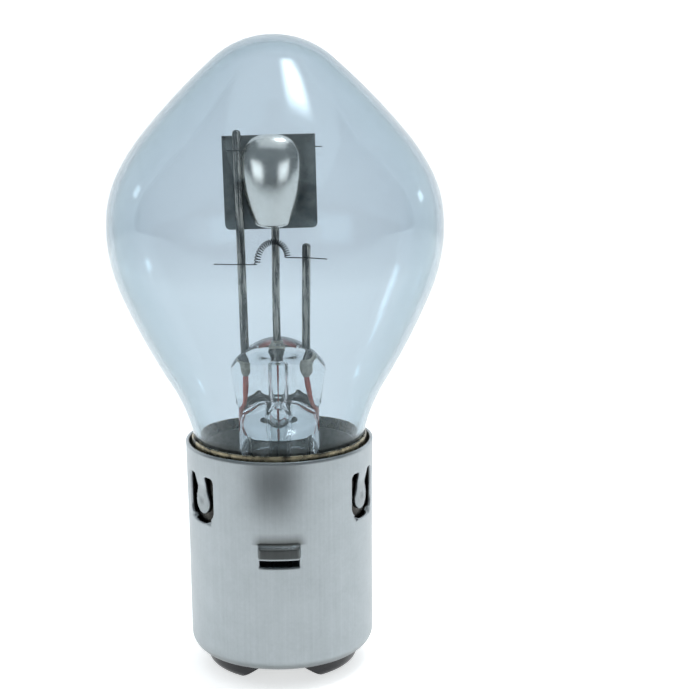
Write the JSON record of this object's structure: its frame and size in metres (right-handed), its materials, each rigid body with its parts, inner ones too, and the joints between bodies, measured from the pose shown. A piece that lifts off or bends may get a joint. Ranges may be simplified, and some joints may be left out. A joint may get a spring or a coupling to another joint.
{
  "type": "headlight bulb",
  "caption": "Clear glass headlight bulb with an arched coil, a shielded coil with a square plate, and a bayonet cap with side lugs and bottom contacts.",
  "frame": {"origin": "on the bulb's axis, in the plane of the two contact faces that it stands on", "axes": "+Z along the bulb's axis from the cap towards the top of the glass; the bayonet lugs point along -Y and +Y; the contacts lie on X, the dipped beam's at -X and the main beam's at +X; -Y is the shield cup's side"},
  "size_m": [0.0356, 0.0356, 0.0684],
  "materials": {
    "clear_glass": "clear blown glass, very slightly blue",
    "stem_glass": "clear pressed glass",
    "nickel_wire": "drawn nickel, slightly dull",
    "shield_plate": "dark oxidised sheet, satin",
    "shield_cup": "pressed bright nickel, satin",
    "tungsten": "drawn tungsten",
    "weld_bead": "pale fused bead",
    "copper_clad": "red oxidised copper",
    "collar_brass": "nickel-plated brass, worn to brass on its edge",
    "cement": "matt mineral cement",
    "cap_metal": "nickel-plated sheet with fine upright draw lines",
    "insulator_black": "gloss black",
    "contact_brass": "pressed brass",
    "solder": "bright tin solder"
  },
  "bodies": {
    "root": {"glass_envelope": "clear_glass", "stem_glass": "stem_glass", "exhaust_tube": "stem_glass", "common_support_wire": "nickel_wire", "dipped_support_wire": "nickel_wire", "main_support_wire": "nickel_wire", "shield_plate": "shield_plate", "shield_cup": "shield_cup", "main_filament": "tungsten", "dipped_filament": "tungsten", "lead_weld_knots": "weld_bead", "common_seal_wire": "copper_clad", "dipped_seal_wire": "copper_clad", "main_seal_wire": "copper_clad", "common_feed_wire": "nickel_wire", "dipped_feed_wire": "nickel_wire", "main_feed_wire": "nickel_wire", "inner_collar": "collar_brass", "basing_cement": "cement", "cap_shell": "cap_metal", "ground_solder": "solder", "insulator": "insulator_black", "dipped_contact": "contact_brass", "main_contact": "contact_brass", "dipped_solder": "solder", "main_solder": "solder"}
  },
  "joints": []
}
